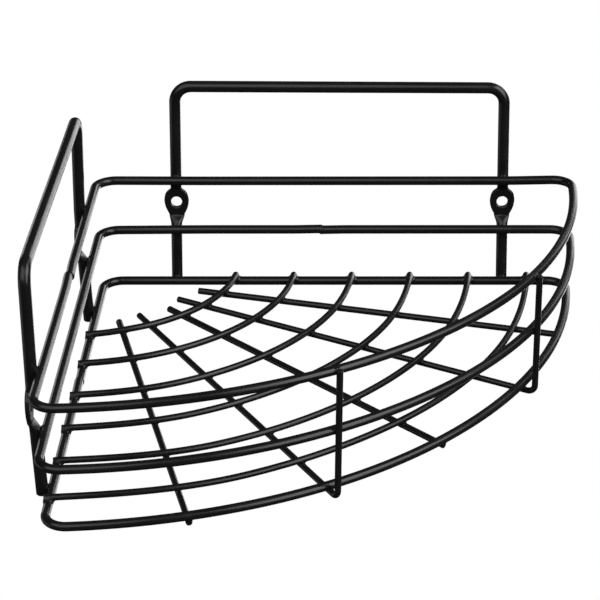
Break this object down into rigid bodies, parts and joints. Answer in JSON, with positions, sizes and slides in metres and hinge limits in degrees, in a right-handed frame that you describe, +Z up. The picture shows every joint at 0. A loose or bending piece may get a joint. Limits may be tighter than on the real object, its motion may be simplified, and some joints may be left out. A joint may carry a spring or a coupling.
{
  "type": "corner shower caddy",
  "caption": "Quarter-round wire corner basket with two wall brackets and screw eyelets, for bottles and soap in a shower.",
  "frame": {"origin": "midpoint between the back bracket's two screw holes, on the plane of the back wall", "axes": "+Y points into the back wall, -X points into the side wall, +Z is up"},
  "size_m": [0.2423, 0.2423, 0.1086],
  "materials": {
    "black_powder_coat": "satin black powder coat on steel wire"
  },
  "bodies": {
    "root": {"bottom_rim": "black_powder_coat", "middle_rim": "black_powder_coat", "top_rim": "black_powder_coat", "back_bracket": "black_powder_coat", "side_bracket": "black_powder_coat", "floor_arc_1": "black_powder_coat", "floor_arc_2": "black_powder_coat", "floor_arc_3": "black_powder_coat", "floor_arc_4": "black_powder_coat", "floor_arc_5": "black_powder_coat", "floor_arc_6": "black_powder_coat", "floor_spoke_1": "black_powder_coat", "strut_spoke_2": "black_powder_coat", "floor_spoke_3": "black_powder_coat", "strut_spoke_4": "black_powder_coat", "floor_spoke_5": "black_powder_coat"}
  },
  "joints": []
}
